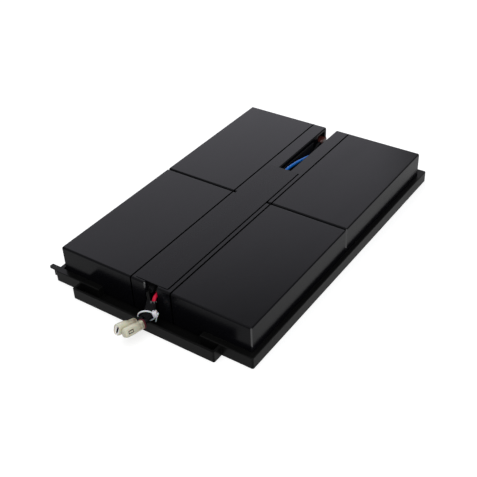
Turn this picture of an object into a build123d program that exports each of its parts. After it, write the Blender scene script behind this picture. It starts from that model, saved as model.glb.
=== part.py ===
from build123d import *
import math
import os

# Battery cartridge: four slim sealed batteries on a shallow moulded tray, wired in series.
# Millimetres, +Z up, +Y to the back, the leads come out at the front, towards -Y.
# The origin is at the middle of the tray's footprint, ear and cable bay included, on the table.

# Batteries: they lie on a large side, with their lids facing the wiring channel
battery_length = 151.0
battery_height = 94.0
battery_thickness = 34.0
lid_depth = 15.0
battery_gap = 1.0
channel_width = 12.0
case_edge_radius = 1.6
case_end_chamfer = 1.0
seam_chamfer = 0.35

# Vent cover strip on each lid, between the two terminal pockets
vent_end_gap = 9.5
vent_width = 25.0
vent_thickness = 1.2
vent_recess = 0.8
vent_clearance = 0.15

# Terminals: one tab near each end of a lid, in a pocket of its own
terminal_inset = 11.0
terminal_drop = 10.0
tab_width = 6.35
tab_thickness = 0.8
tab_reach = 8.0
tab_root = 3.0
pocket_depth = 5.5
pocket_length = 14.0
pocket_width = 15.0

# Push-on receptacles, each in a moulded boot with the wire leaving sideways
receptacle_length = 7.5
receptacle_side = 0.65
receptacle_skin = 0.9
receptacle_slit = 2.4
boot_wall = 1.1
boot_radius = 1.0
boot_tip_chamfer = 0.6
boot_base_gap = 0.7
boot_collar_diameter = 5.4
boot_collar_length = 2.0
boot_collar_inset = 2.0

# Tray
floor_thickness = 1.4
tape_thickness = 0.5
tape_margin = 9.0
rim_height = 11.0
side_rim = 4.2
front_rim = 5.8
back_rim = 9.9
seat_clearance = 0.35
side_play = 3.0
back_play = 0.5
tray_corner_radius = 1.6
well_corner_radius = 1.2
rim_edge_chamfer = 0.5
bay_width = 151.0
bay_reach = 10.3
bay_wall = 1.9
bay_wall_height = 10.5
bay_corner_radius = 1.4
ledge_stub_length = 21.0
ear_reach = 9.0
ear_width = 4.3
ear_thickness = 2.2
ear_setback = 2.0
gusset_reach = 3.5
gusset_drop = 5.5
gusset_thickness = 2.0
core_wall = 1.4
core_roof = 1.8
core_rib = 1.2
core_pitch = 26.0

# Cover strip over the front of the wiring channel
cover_width = 33.2
cover_thickness = 0.5
cover_front_setback = 3.0
cover_length = 205.8
cover_offset = -0.7
cover_corner_radius = 0.8

# Wires: diameters over the insulation
lead_diameter = 3.2
jumper_diameter = 3.0

# Routes of the wires: x from the middle of the channel, y from the battery fronts, z from the table
red_route = [
    (4.2, 4.07, 25.9),
    (4.2, 0.3, 25.9),
    (4.3, -2.3, 22.6),
    (4.6, -7.8, 12.0),
    (4.5, -14.8, 12.4),
    (3.79, -17.9, 12.83),
    (3.7, -20.45, 13.28),
]
black_route = [
    (-4.2, 4.07, 25.9),
    (-4.2, 0.3, 25.9),
    (-1.0, -2.3, 22.6),
    (0.6, -7.8, 12.0),
    (0.3, -14.8, 12.4),
    (-4.05, -18.6, 13.03),
    (-4.14, -21.15, 13.48),
]

# Route of the rear jumper: x and z as above, y from the rear boots
blue_route = [
    (-4.2, 0.0, 25.9),
    (-4.2, -5.0, 25.9),
    (-4.0, -13.0, 20.0),
    (-3.6, -32.0, 12.0),
    (-3.2, -64.0, 9.5),
    (-1.8, -84.0, 12.0),
    (-0.2, -90.5, 21.5),
    (1.2, -84.0, 31.2),
    (3.0, -68.0, 32.8),
    (3.7, -48.0, 29.0),
    (3.7, -22.0, 26.2),
    (4.2, -6.0, 25.9),
    (4.2, 0.0, 25.9),
]

# Sleeve and tie round the two leads, on the stretch that crosses the bay
sleeve_bore = 8.6
sleeve_diameter = 9.8
sleeve_from = 0.3
sleeve_to = 0.8
sleeve_bend_radius = 7.0
strap_width = 2.2
strap_thickness = 1.0
strap_clearance = 0.25
strap_from_end = 1.0
tie_lean = 5.0
tie_turn = 15.0
tie_head_length = 5.2
tie_head_height = 4.2
tie_head_depth = 4.4
tie_head_angle = 33.0
tie_tail_length = 8.5
tie_tail_width = 2.0
tie_tail_thickness = 1.0
tie_head_gap = 0.4

# Push-on connectors at the ends of the leads: a socket and a closed pin housing, side by side
pole_width = 7.5
pole_height = 10.4
pole_back_width = 6.8
pole_back_height = 7.8
pole_back_length = 8.0
pole_flare_length = 3.6
pole_length = 20.5
pole_corner_radius = 3.2
pole_nose_length = 1.1
pole_nose_inset = 0.9
slot_width = 2.2
slot_height = 7.6
slot_depth = 12.0
contact_skin = 0.35
contact_setback = 1.6
latch_length = 4.6
latch_width = 4.0
latch_groove = 0.8
latch_depth = 0.8
latch_from_nose = 2.2

# Derived places
block_width = 2 * battery_height + channel_width
block_length = 2 * battery_length + battery_gap
well_width = block_width + side_play
tray_width = well_width + 2 * side_rim
tray_length = front_rim + seat_clearance + block_length + back_play + back_rim
tray_x = ear_reach / 2
tray_right = tray_x + tray_width / 2
tray_left = tray_x - tray_width / 2
tray_back = (tray_length + bay_reach) / 2
tray_front = tray_back - tray_length
bay_front = tray_front - bay_reach
block_right = tray_right - side_rim - seat_clearance
channel_x = block_right - block_width / 2
front_y = tray_front + front_rim + seat_clearance
battery_base = floor_thickness + tape_thickness
battery_top = battery_base + battery_thickness
lid_face = battery_height
case_depth = battery_height - lid_depth
terminal_z = battery_thickness - terminal_drop
terminal_y = battery_length / 2 - terminal_inset
pocket_floor = lid_face - pocket_depth
vent_length = 2 * (terminal_y - pocket_length / 2 - vent_end_gap)
boot_base = pocket_floor + boot_base_gap
boot_tip = boot_base + receptacle_length + boot_wall
receptacle_width = tab_width + 2 * receptacle_side
receptacle_height = tab_thickness + 2 * receptacle_skin
boot_width = receptacle_width + 2 * boot_wall
boot_height = receptacle_height + 2 * boot_wall
boot_reach = boot_width / 2 + boot_collar_length
collar_x = channel_width / 2 + lid_face - boot_tip + boot_collar_inset
wire_z = battery_base + terminal_z
rear_boots_y = front_y + block_length - terminal_inset - boot_reach


def block(x0, x1, y0, y1, z0, z1):
    """A box given by its faces."""
    centre = Location(((x0 + x1) / 2, (y0 + y1) / 2, (z0 + z1) / 2))
    return centre * Box(x1 - x0, y1 - y0, z1 - z0)


def rounded_block(x0, x1, y0, y1, z0, z1, radius):
    """A box with its upright edges rounded."""
    body = block(x0, x1, y0, y1, z0, z1)
    return fillet(body.edges().filter_by(Axis.Z), radius)


def save(shape, name):
    os.makedirs("parts", exist_ok=True)
    export_step(shape, f"parts/{name}.step")


# Tray


def rim_core(x0, x1, y0, y1, along_x):
    """Pockets in the underside of a rim, with ribs between them."""
    roof = rim_height - core_roof
    length = (x1 - x0) if along_x else (y1 - y0)
    cells = max(1, round(length / core_pitch))
    cell = (length - (cells - 1) * core_rib) / cells
    pockets = []
    for i in range(cells):
        start = i * (cell + core_rib)
        if along_x:
            pockets.append(block(x0 + start, x0 + start + cell, y0, y1, 0, roof))
        else:
            pockets.append(block(x0, x1, y0 + start, y0 + start + cell, 0, roof))
    return pockets


def make_tray():
    bay_left = tray_x - bay_width / 2
    bay_right = tray_x + bay_width / 2
    well_left = tray_x - well_width / 2
    well_right = tray_x + well_width / 2
    well_front = tray_front + front_rim
    well_back = tray_back - back_rim
    rim = rounded_block(tray_left, tray_right, tray_front, tray_back, 0, rim_height, tray_corner_radius)
    rim = chamfer(rim.faces().sort_by(Axis.Z)[-1].edges(), rim_edge_chamfer)
    well = rounded_block(
        well_left, well_right, well_front, well_back, floor_thickness, rim_height, well_corner_radius
    )
    bay = block(bay_left, bay_right, bay_front, tray_front + front_rim / 2, 0, bay_wall_height)
    front_corners = bay.edges().filter_by(Axis.Z).group_by(Axis.Y)[0]
    bay = fillet(front_corners, bay_corner_radius)
    body = rim + bay - well
    bay_inner = block(
        bay_left + bay_wall, bay_right - bay_wall, bay_front + bay_wall, tray_front,
        floor_thickness, rim_height,
    )
    mouth = block(
        bay_left + ledge_stub_length, bay_right - ledge_stub_length,
        tray_front - core_wall, well_front + well_corner_radius, floor_thickness, rim_height,
    )
    body = body - bay_inner - mouth
    ear_front = tray_front + ear_setback
    ear = block(
        tray_left - ear_reach, tray_left + side_rim / 2,
        ear_front, ear_front + ear_width, rim_height - ear_thickness, rim_height,
    )
    ear = fillet(ear.edges().filter_by(Axis.Z).group_by(Axis.X)[0], ear_width / 5)
    gusset = block(
        tray_left - gusset_reach, tray_left + side_rim / 2,
        ear_front, ear_front + gusset_thickness,
        rim_height - ear_thickness - gusset_drop, rim_height - ear_thickness,
    )
    body = body + ear + gusset
    side_start = well_front
    cores = rim_core(tray_left + core_wall, tray_left + side_rim - core_wall, side_start, well_back, False)
    cores += rim_core(tray_right - side_rim + core_wall, tray_right - core_wall, side_start, well_back, False)
    cores += rim_core(well_left, well_right, tray_back - back_rim + core_wall, tray_back - core_wall, True)
    for x0, x1 in (
        (well_left, bay_left + ledge_stub_length - core_wall),
        (bay_right - ledge_stub_length + core_wall, well_right),
    ):
        cores += rim_core(x0, x1, tray_front + core_wall, tray_front + front_rim - core_wall, True)
    for pocket in cores:
        body = body - pocket
    return body


# Battery pieces, drawn lying with the outer side at x = 0 and the lid towards +x


def battery_profile(x0, x1):
    """A stretch of the battery along x, with its long edges rounded."""
    half = battery_length / 2
    body = block(x0, x1, -half, half, 0, battery_thickness)
    return fillet(body.edges().filter_by(Axis.X), case_edge_radius)


def soften_ends(body, low_chamfer, high_chamfer):
    """Chamfers round the two end faces of a battery piece."""
    body = chamfer(body.faces().sort_by(Axis.X)[0].edges(), low_chamfer)
    return chamfer(body.faces().sort_by(Axis.X)[-1].edges(), high_chamfer)


def make_case():
    return soften_ends(battery_profile(0, case_depth), case_end_chamfer, seam_chamfer)


def make_lid():
    body = soften_ends(battery_profile(case_depth, lid_face), seam_chamfer, case_end_chamfer)
    middle = battery_thickness / 2
    body = body - block(
        lid_face - vent_recess, lid_face, -vent_length / 2, vent_length / 2,
        middle - vent_width / 2, middle + vent_width / 2,
    )
    for side in (-1, 1):
        y = side * terminal_y
        body = body - terminal_pocket(y)
        body = body - tab_block(y)
    return body


def terminal_pocket(y):
    return block(
        pocket_floor, lid_face, y - pocket_length / 2, y + pocket_length / 2,
        terminal_z - pocket_width / 2, terminal_z + pocket_width / 2,
    )


def tab_block(y):
    return block(
        pocket_floor - tab_root, pocket_floor + tab_reach, y - tab_width / 2, y + tab_width / 2,
        terminal_z - tab_thickness / 2, terminal_z + tab_thickness / 2,
    )


def make_tab(side):
    tab = tab_block(side * terminal_y)
    tip = tab.faces().sort_by(Axis.X)[-1].edges().filter_by(Axis.Z)
    return chamfer(tip, tab_thickness)


def make_vent_cover():
    middle = battery_thickness / 2
    half_length = vent_length / 2 - vent_clearance
    half_width = vent_width / 2 - vent_clearance
    base = lid_face - vent_recess
    strip = block(
        base, base + vent_thickness, -half_length, half_length, middle - half_width, middle + half_width
    )
    return chamfer(strip.faces().sort_by(Axis.X)[-1].edges(), vent_clearance * 2)


def make_receptacle(side):
    y = side * terminal_y
    body = block(
        boot_base, boot_base + receptacle_length,
        y - receptacle_width / 2, y + receptacle_width / 2,
        terminal_z - receptacle_height / 2, terminal_z + receptacle_height / 2,
    )
    slit = block(
        boot_base, boot_base + receptacle_length, y - receptacle_slit / 2, y + receptacle_slit / 2,
        terminal_z - receptacle_height / 2, terminal_z,
    )
    return body - tab_block(y) - slit


def make_boot(side, wire_side):
    y = side * terminal_y
    body = block(
        boot_base, boot_tip, y - boot_width / 2, y + boot_width / 2,
        terminal_z - boot_height / 2, terminal_z + boot_height / 2,
    )
    body = fillet(body.edges().filter_by(Axis.X), boot_radius)
    body = chamfer(body.faces().sort_by(Axis.X)[-1].edges(), boot_tip_chamfer)
    body = body - block(
        boot_base, boot_base + receptacle_length,
        y - receptacle_width / 2, y + receptacle_width / 2,
        terminal_z - receptacle_height / 2, terminal_z + receptacle_height / 2,
    )
    collar_length = boot_collar_length + boot_wall / 2
    collar_y = y + wire_side * (boot_width / 2 - boot_wall / 2 + collar_length / 2)
    collar = Location((boot_tip - boot_collar_inset, collar_y, terminal_z), (90, 0, 0)) * Cylinder(
        boot_collar_diameter / 2, collar_length
    )
    return body + collar


def make_tape():
    half = battery_length / 2
    return block(
        tape_margin, battery_height - lid_depth - tape_margin / 2,
        -half + tape_margin, half - tape_margin, -tape_thickness, 0,
    )


def seat(shape, left, front):
    """Moves a battery piece from the drawing place to its corner of the cartridge."""
    row_y = front_y + battery_length / 2 + (0 if front else battery_length + battery_gap)
    if left:
        return Location((channel_x - block_width / 2, row_y, battery_base)) * shape
    return Location((channel_x + block_width / 2, row_y, battery_base), (0, 0, 180)) * shape


# Wires


def route_points(route, start_y):
    """The points of a route in the cartridge's own frame."""
    return [Vector(x + channel_x, y + start_y, z) for x, y, z in route]


def bend_radii(points):
    """Each bend is as large as its two runs allow."""
    radii = []
    for before, corner, after in zip(points, points[1:], points[2:]):
        half_turn = math.radians((corner - before).get_angle(after - corner)) / 2
        shorter = min((corner - before).length, (after - corner).length)
        radii.append(0.45 * shorter / math.tan(half_turn))
    return radii


def bent_path(points):
    """Straight runs joined by tangent arcs."""
    return Wire(FilletPolyline(*points, radius=bend_radii(points)).edges())


def make_wire(name, points, diameter):
    path = bent_path(points)
    start = Plane(origin=points[0], z_dir=points[1] - points[0])
    wire = sweep(start * Circle(diameter / 2), path=path)
    area = math.pi * diameter**2 / 4
    print(
        name, "length", round(path.length, 1), "radii", [round(r, 1) for r in bend_radii(points)],
        "volume over section times length", round(wire.volume / (area * path.length), 4),
    )
    return wire


def make_middle_jumper(left):
    """The short straight wire between the facing boots of the front and the rear battery on one side."""
    x = channel_x + (-collar_x if left else collar_x)
    y = front_y + battery_length + battery_gap / 2
    length = 2 * (terminal_inset - boot_reach) + battery_gap
    return Location((x, y, wire_z), (90, 0, 0)) * Cylinder(jumper_diameter / 2, length)


red_points = route_points(red_route, front_y)
black_points = route_points(black_route, front_y)
blue_points = route_points(blue_route, rear_boots_y)

# Sleeve and tie round the leads


def bundle_points():
    """The line midway between the two leads, along the stretch that the sleeve covers."""
    middle = [(a + b) / 2 for a, b in zip(red_points, black_points)]
    start = middle[2] + (middle[3] - middle[2]) * sleeve_from
    end = middle[3] + (middle[4] - middle[3]) * sleeve_to
    return [start, middle[3], end]


def make_sleeve():
    points = bundle_points()
    start = Plane(origin=points[0], z_dir=points[1] - points[0])
    path = Wire(FilletPolyline(*points, radius=sleeve_bend_radius).edges())
    outer = sweep(start * Circle(sleeve_diameter / 2), path=path)
    return outer - sweep(start * Circle(sleeve_bore / 2), path=path)


def tie_location():
    """The middle of the strap: x to the right, y up, z along the leads, leaning back as a loose tie does."""
    points = bundle_points()
    along = (points[-1] - points[-2]).normalized()
    origin = points[-1] - along * (strap_from_end + strap_width / 2)
    across = Plane(origin=origin, x_dir=Vector(0, 0, 1).cross(along), z_dir=along)
    return across.location * Rot(-tie_lean, 0, 0) * Rot(0, tie_turn, 0)


def strap_inner_radius():
    """The sleeve has to pass through the strap at its slant."""
    slant = math.acos(math.cos(math.radians(tie_lean)) * math.cos(math.radians(tie_turn)))
    return (
        sleeve_diameter / 2 / math.cos(slant) + strap_width / 2 * math.tan(slant) + strap_clearance
    )


def make_tie():
    place = tie_location()
    inner = strap_inner_radius()
    outer = inner + strap_thickness
    strap = Cylinder(outer, strap_width) - Cylinder(inner, strap_width)
    seat_radius = inner + tie_head_gap + tie_head_height / 2
    head = Box(tie_head_height, tie_head_length, tie_head_depth)
    head = chamfer(head.edges(), strap_thickness / 2)
    head = Rot(0, 0, tie_head_angle) * Location((seat_radius, 0, 0)) * head
    angle = math.radians(tie_head_angle)
    tail_top = seat_radius * math.sin(angle)
    tail = Location((seat_radius * math.cos(angle), tail_top - tie_tail_length / 2, 0)) * Box(
        tie_tail_thickness, tie_tail_length, tie_tail_width
    )
    return place * (strap + head + tail)


# Connectors, drawn with the back face at y = 0 and the nose towards -y


def pole_section(reach, width, height):
    plane = Plane(origin=(0, -reach, 0), x_dir=(1, 0, 0), z_dir=(0, -1, 0))
    return plane * RectangleRounded(width, height, pole_corner_radius)


def pole_body():
    """A slim barrel that flares into a wider nose with a softened rim."""
    nose_start = pole_length - pole_nose_length
    nose_width = pole_width - pole_nose_inset
    nose_height = pole_height - pole_nose_inset
    sections = [
        pole_section(0, pole_back_width, pole_back_height),
        pole_section(pole_back_length, pole_back_width, pole_back_height),
        pole_section(pole_back_length + pole_flare_length, pole_width, pole_height),
        pole_section(nose_start, pole_width, pole_height),
        pole_section(pole_length, nose_width, nose_height),
    ]
    return loft(sections, ruled=True)


def latch_cut(side):
    """A U-shaped groove round the latch tongue on the outer side of a housing."""
    face = side * pole_width / 2
    nose = -pole_length + latch_from_nose
    window = block(
        face - latch_depth, face + latch_depth, nose, nose + latch_length, -latch_width / 2, latch_width / 2
    )
    tongue = block(
        face - 2 * latch_depth, face + 2 * latch_depth,
        nose + latch_groove, nose + latch_length + latch_groove,
        -latch_width / 2 + latch_groove, latch_width / 2 - latch_groove,
    )
    return window - tongue


def slot_cut():
    return block(
        -slot_width / 2, slot_width / 2, -pole_length, -pole_length + slot_depth,
        -slot_height / 2, slot_height / 2,
    )


def make_socket_housing():
    return pole_body() - slot_cut() - latch_cut(-1)


def make_socket_contact():
    front = -pole_length + contact_setback
    back = -pole_length + slot_depth
    half_width = slot_width / 2
    half_height = slot_height / 2
    body = block(-half_width, half_width, front, back, -half_height, half_height)
    gap = block(
        -half_width + contact_skin, half_width - contact_skin, front, back - contact_skin,
        -half_height, half_height,
    )
    return body - gap


def make_pin_housing():
    return pole_body() - latch_cut(1)


def at_lead_end(shape, points):
    """Puts a housing's back face square on the end of its lead."""
    before, end = points[-2:]
    along = (end - before).normalized()
    across = Vector(0, 0, 1).cross(along)
    return Plane(origin=end, x_dir=across, z_dir=along.cross(across)).location * shape


def make_cover():
    left = channel_x + cover_offset - cover_width / 2
    front = front_y + cover_front_setback
    return rounded_block(
        left, left + cover_width, front, front + cover_length,
        battery_top, battery_top + cover_thickness, cover_corner_radius,
    )


# Build and save

save(make_tray(), "tray")
case = make_case()
lid = make_lid()
vent_cover = make_vent_cover()
tape = make_tape()
for front in (True, False):
    row = "front" if front else "rear"
    for left in (True, False):
        corner = f"{row}_{'left' if left else 'right'}"
        save(seat(case, left, front), f"battery_case_{corner}")
        save(seat(lid, left, front), f"battery_lid_{corner}")
        save(seat(vent_cover, left, front), f"vent_cover_{corner}")
        save(seat(tape, left, front), f"mounting_tape_{corner}")
        for pole, side in (("negative", -1), ("positive", 1)):
            # only the wires at the back of the front row leave towards the back
            towards_front = not front or (side < 0) == left
            wire_side = -1 if towards_front == left else 1
            save(seat(make_tab(side), left, front), f"terminal_{pole}_{corner}")
            save(seat(make_receptacle(side), left, front), f"receptacle_{pole}_{corner}")
            save(seat(make_boot(side, wire_side), left, front), f"boot_{pole}_{corner}")

save(make_cover(), "channel_cover")
save(make_wire("red lead", red_points, lead_diameter), "lead_red")
save(make_wire("black lead", black_points, lead_diameter), "lead_black")
save(make_wire("blue jumper", blue_points, jumper_diameter), "jumper_rear")
save(make_middle_jumper(True), "jumper_left")
save(make_middle_jumper(False), "jumper_right")
save(make_sleeve(), "lead_sleeve")
save(make_tie(), "cable_tie")
save(at_lead_end(make_socket_housing(), black_points), "connector_socket_housing")
save(at_lead_end(make_socket_contact(), black_points), "connector_socket_contact")
save(at_lead_end(make_pin_housing(), red_points), "connector_pin_housing")
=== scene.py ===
# %% [markdown]
# # A battery cartridge, dressed
# Four slim sealed batteries lie on a shallow black tray, wired in series down a channel between them.
# The solid model already holds every main piece at its place and size. This lesson gives each piece its
# finish, remakes the soft wires as smooth curves, adds the fine detail that moulds and tools leave, and
# lights it all as a small studio would.

# %% Load the solid model
import math
import random

import bmesh
import bpy
from mathutils import Matrix, Vector


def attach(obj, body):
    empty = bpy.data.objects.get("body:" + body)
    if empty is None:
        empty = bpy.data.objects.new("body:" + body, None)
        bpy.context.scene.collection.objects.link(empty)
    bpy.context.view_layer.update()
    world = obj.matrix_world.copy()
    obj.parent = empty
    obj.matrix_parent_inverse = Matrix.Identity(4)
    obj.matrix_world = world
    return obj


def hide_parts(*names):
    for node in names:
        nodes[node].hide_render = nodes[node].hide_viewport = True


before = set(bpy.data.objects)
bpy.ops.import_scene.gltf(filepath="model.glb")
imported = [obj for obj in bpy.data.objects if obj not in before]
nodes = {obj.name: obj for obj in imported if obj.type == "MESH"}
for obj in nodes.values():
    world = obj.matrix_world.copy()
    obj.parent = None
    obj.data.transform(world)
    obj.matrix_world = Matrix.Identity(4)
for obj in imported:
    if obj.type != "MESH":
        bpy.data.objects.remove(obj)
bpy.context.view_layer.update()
scene = bpy.context.scene
print("pieces in the solid model:", len(nodes))

# %% [markdown]
# ## The camera
# The picture was taken with a longish lens from the front right, a little above the cartridge. A camera
# could be aimed by hand until the picture looks right. Here its place and its three directions, right,
# up and back, were worked out from the corners of the batteries, which is exact, so they are only
# written down, in metres.

# %% Set up the camera
camera_place = Vector((0.383839, -0.542931, 0.477058))
camera_right = Vector((0.82530753, 0.56333468, -0.03900663))
camera_up = Vector((-0.3083208, 0.50741816, 0.80465216))
camera_back = Vector((0.47308114, -0.65205893, 0.59246383))
camera_lens = 64.224
sensor_width = 36
farthest_seen = 10

camera_data = bpy.data.cameras.new("camera")
camera_data.lens = camera_lens
camera_data.sensor_width = sensor_width
camera_data.clip_end = farthest_seen
camera = bpy.data.objects.new("camera", camera_data)
camera_turn = Matrix((camera_right, camera_up, camera_back)).transposed()
camera.matrix_world = Matrix.Translation(camera_place) @ camera_turn.to_4x4()
scene.collection.objects.link(camera)
scene.camera = camera
print("camera distance to the middle:", round(camera_place.length, 3), "m")

# %% [markdown]
# ## The wires
# A wire with PVC insulation bends evenly, with no corners. A round curve could follow it on handles that
# are set one by one. A NURBS spline needs none: the points of the route only pull on it, so it never
# turns sharply. Each route is written in millimetres from the middle of the channel and the front of the
# batteries, which is how one would measure it on the bench.

# %% Routes of the two leads
mm = 0.001
channel_middle = Vector((5.65, -148.475, 0))
lead_diameter = 3.2

red_route = [
    (4.2, 4.07, 25.9),
    (4.2, 0.3, 25.9),
    (4.4, -2.3, 22.6),
    (4.6, -7.8, 12.0),
    (5.0, -14.0, 11.2),
    (5.75, -18.2, 10.9),
    (5.42, -21.2, 11.6),
]
black_route = [
    (-4.2, 4.07, 25.9),
    (-4.2, 0.3, 25.9),
    (0.2, -2.6, 22.6),
    (1.2, -7.8, 12.0),
    (0.9, -14.2, 11.4),
    (-1.7, -18.4, 10.7),
    (-2.0, -21.2, 11.3),
]
print("points on the routes of the leads:", len(red_route), len(black_route))

# %% Route of the rear jumper
# It is measured from the mouths of the rear boots. From the left boot the wire runs forward along the
# channel's bottom, turns up under the cover and comes back above itself, where it shows.
rear_boots = 285.075
jumper_diameter = 3.0
blue_from_rear = [
    (-4.2, 0.0, 25.9),
    (-4.2, -5.0, 25.9),
    (-4.0, -13.0, 20.0),
    (-3.6, -32.0, 12.0),
    (-3.2, -64.0, 9.5),
    (-1.8, -84.0, 12.0),
    (-0.4, -90.5, 21.5),
    (-0.2, -85.0, 31.6),
    (0.0, -73.0, 33.7),
    (0.8, -58.0, 33.2),
    (2.8, -42.0, 31.4),
    (4.3, -24.0, 28.0),
    (4.2, -6.0, 25.9),
    (4.2, 0.0, 25.9),
]
blue_route = [(x, y + rear_boots, z) for x, y, z in blue_from_rear]
print("points on the route of the jumper:", len(blue_route))


# %% From a route to a curve
def in_place(point):
    """A point of a route, in metres in the cartridge's own frame."""
    return (Vector(point) + channel_middle) * mm


def route_curve(name, route):
    """A curve of one open NURBS spline, with the points of the route as its control points."""
    curve = bpy.data.curves.new(name, "CURVE")
    curve.dimensions = "3D"
    curve.resolution_u = 10
    spline = curve.splines.new("NURBS")
    spline.points.add(len(route) - 1)
    for control, point in zip(spline.points, route):
        control.co = (*in_place(point), 1)
    spline.order_u = 3
    spline.use_endpoint_u = True
    return curve


# %% Make the wires
def make_wire(name, route, diameter, node):
    """A round wire along a route, which stands for a node of the solid model."""
    curve = route_curve(name, route)
    # With a bevel depth of 1, the radius of a point is the true radius of the wire.
    curve.bevel_depth = 1.0
    curve.bevel_resolution = 6
    curve.use_fill_caps = True
    for control in curve.splines[0].points:
        control.radius = diameter * mm / 2
    wire = bpy.data.objects.new(name, curve)
    scene.collection.objects.link(wire)
    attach(wire, "root")
    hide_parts(node)
    return wire


red_wire = make_wire("wire_red", red_route, lead_diameter, "lead_red")
black_wire = make_wire("wire_black", black_route, lead_diameter, "lead_black")
blue_wire = make_wire("wire_blue", blue_route, jumper_diameter, "jumper_rear")
print("wires made:", red_wire.name, black_wire.name, blue_wire.name)

# %% [markdown]
# ## Tools for the soft and small pieces
# The sleeve, the tie and the connectors replace plainer solids. Their faces could be written out one by
# one. Each starts from a ring or a rounded outline instead and is pulled out step by step, which keeps
# the walls even and the mesh light. What sits on a wire follows that wire's own smooth line.


# %% Read the smooth line of a route
def mesh_of(curve):
    """The mesh that a curve makes. The curve itself is removed."""
    carrier = bpy.data.objects.new(curve.name, curve)
    mesh = bpy.data.meshes.new_from_object(carrier)
    bpy.data.objects.remove(carrier)
    bpy.data.curves.remove(curve)
    return mesh


def smooth_line(route):
    """The points that the spline of a route really passes, in metres."""
    mesh = mesh_of(route_curve("line", route))
    line = [vertex.co.copy() for vertex in mesh.vertices]
    bpy.data.meshes.remove(mesh)
    return line


def stretch(line, near, far):
    """The part of a line between two distances along y from the batteries' front, in millimetres."""
    highest = (channel_middle.y + near) * mm
    lowest = (channel_middle.y + far) * mm
    return [point for point in line if lowest <= point.y <= highest]


red_line = smooth_line(red_route)
black_line = smooth_line(black_route)
print("points on the lines:", len(red_line), len(black_line))

# %% Make a mesh into a piece
sharp_from = math.radians(40)


def make_piece(name, shape, materials, place=None):
    """Moves a finished bmesh to its place, turns its faces outwards and rides it on the cartridge."""
    if place is not None:
        bmesh.ops.transform(shape, matrix=place, verts=shape.verts)
    bmesh.ops.recalc_face_normals(shape, faces=shape.faces)
    mesh = bpy.data.meshes.new(name)
    shape.to_mesh(mesh)
    shape.free()
    mesh.shade_smooth()
    mesh.set_sharp_from_angle(angle=sharp_from)
    for material in materials:
        mesh.materials.append(material)
    piece = bpy.data.objects.new(name, mesh)
    scene.collection.objects.link(piece)
    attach(piece, "root")
    print("made", name, "with", len(mesh.polygons), "faces")
    return piece


# %% Pull a ring along a line
def new_points(grown):
    """The vertices among the parts that an extrusion made."""
    return [part for part in grown["geom"] if isinstance(part, bmesh.types.BMVert)]


def ring_places(line, sizes):
    """One matrix for each point: its z axis runs along the line, its x axis stays level."""
    places = []
    for step, (point, size) in enumerate(zip(line, sizes)):
        before = line[max(step - 1, 0)]
        after = line[min(step + 1, len(line) - 1)]
        along = (after - before).normalized()
        side = (Vector((1, 0, 0)) - along * along.x).normalized()
        rise = along.cross(side)
        turned = Matrix((side * size[0], rise * size[1], along)).transposed()
        places.append(Matrix.Translation(point) @ turned.to_4x4())
    return places


def pull_ring(shape, places, segments, wall):
    """A tube with open ends: each ring is extruded from the one before and moved to its own place."""
    bmesh.ops.create_circle(shape, cap_ends=False, segments=segments, radius=1.0, matrix=places[0])
    edges = shape.edges[:]
    for before, place in zip(places, places[1:]):
        ring = set(new_points(bmesh.ops.extrude_edge_only(shape, edges=edges)))
        bmesh.ops.transform(shape, matrix=place @ before.inverted(), verts=list(ring))
        edges = [edge for edge in shape.edges if set(edge.verts) <= ring]
    bmesh.ops.solidify(shape, geom=shape.faces[:], thickness=wall)


# %% Pull an outline out to a body
def start_outline(shape, width, height, radius):
    """A flat outline with round corners, in the x-z plane, and its single face."""
    upright = Matrix.Rotation(math.radians(90), 4, "X")
    bmesh.ops.create_grid(shape, x_segments=1, y_segments=1, size=0.5, matrix=upright)
    bmesh.ops.scale(shape, vec=(width, 1, height), verts=shape.verts)
    bmesh.ops.bevel(
        shape, geom=shape.verts[:], offset=radius, segments=5, profile=0.5,
        affect="VERTICES", material=-1,
    )
    shape.faces.ensure_lookup_table()
    return shape.faces[0]


def pull_face(shape, face, distance, size, new_size):
    """Extrudes a face towards -y and scales it from one width and height to the next."""
    grown = bmesh.ops.extrude_face_region(shape, geom=[face])
    moved = new_points(grown)
    pulled = next(part for part in grown["geom"] if isinstance(part, bmesh.types.BMFace))
    bmesh.ops.translate(shape, vec=(0, -distance, 0), verts=moved)
    ratio = (new_size[0] / size[0], 1, new_size[1] / size[1])
    bmesh.ops.scale(shape, vec=ratio, verts=moved)
    # The old face stays behind as a wall across the inside, unless it closes the back.
    if any(len(edge.link_faces) > 2 for edge in face.edges):
        bmesh.ops.delete(shape, geom=[face], context="FACES_ONLY")
    return pulled


def pull_sections(shape, size, radius, sections):
    """Pulls an outline through a list of distance, width and height, and gives the last face."""
    face = start_outline(shape, *size, radius)
    for distance, *new_size in sections:
        face = pull_face(shape, face, distance, size, new_size)
        size = new_size
    return face


# %% Bands and blocks
def pull_band(shape, width, axis):
    """Pulls an outline of edges out to a band that is centred on the outline."""
    axis = Vector(axis)
    bmesh.ops.translate(shape, vec=axis * (-width / 2), verts=shape.verts)
    grown = bmesh.ops.extrude_edge_only(shape, edges=shape.edges[:])
    bmesh.ops.translate(shape, vec=axis * width, verts=new_points(grown))


def add_block(shape, size, place, soften):
    """A small block with softened edges."""
    made = bmesh.ops.create_cube(shape, size=1.0, matrix=place @ Matrix.Diagonal((*size, 1)))
    corners = set(made["verts"])
    edges = [edge for edge in shape.edges if set(edge.verts) <= corners]
    bmesh.ops.bevel(
        shape, geom=edges, offset=soften, segments=2, profile=0.5, affect="EDGES", material=-1
    )


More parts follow.
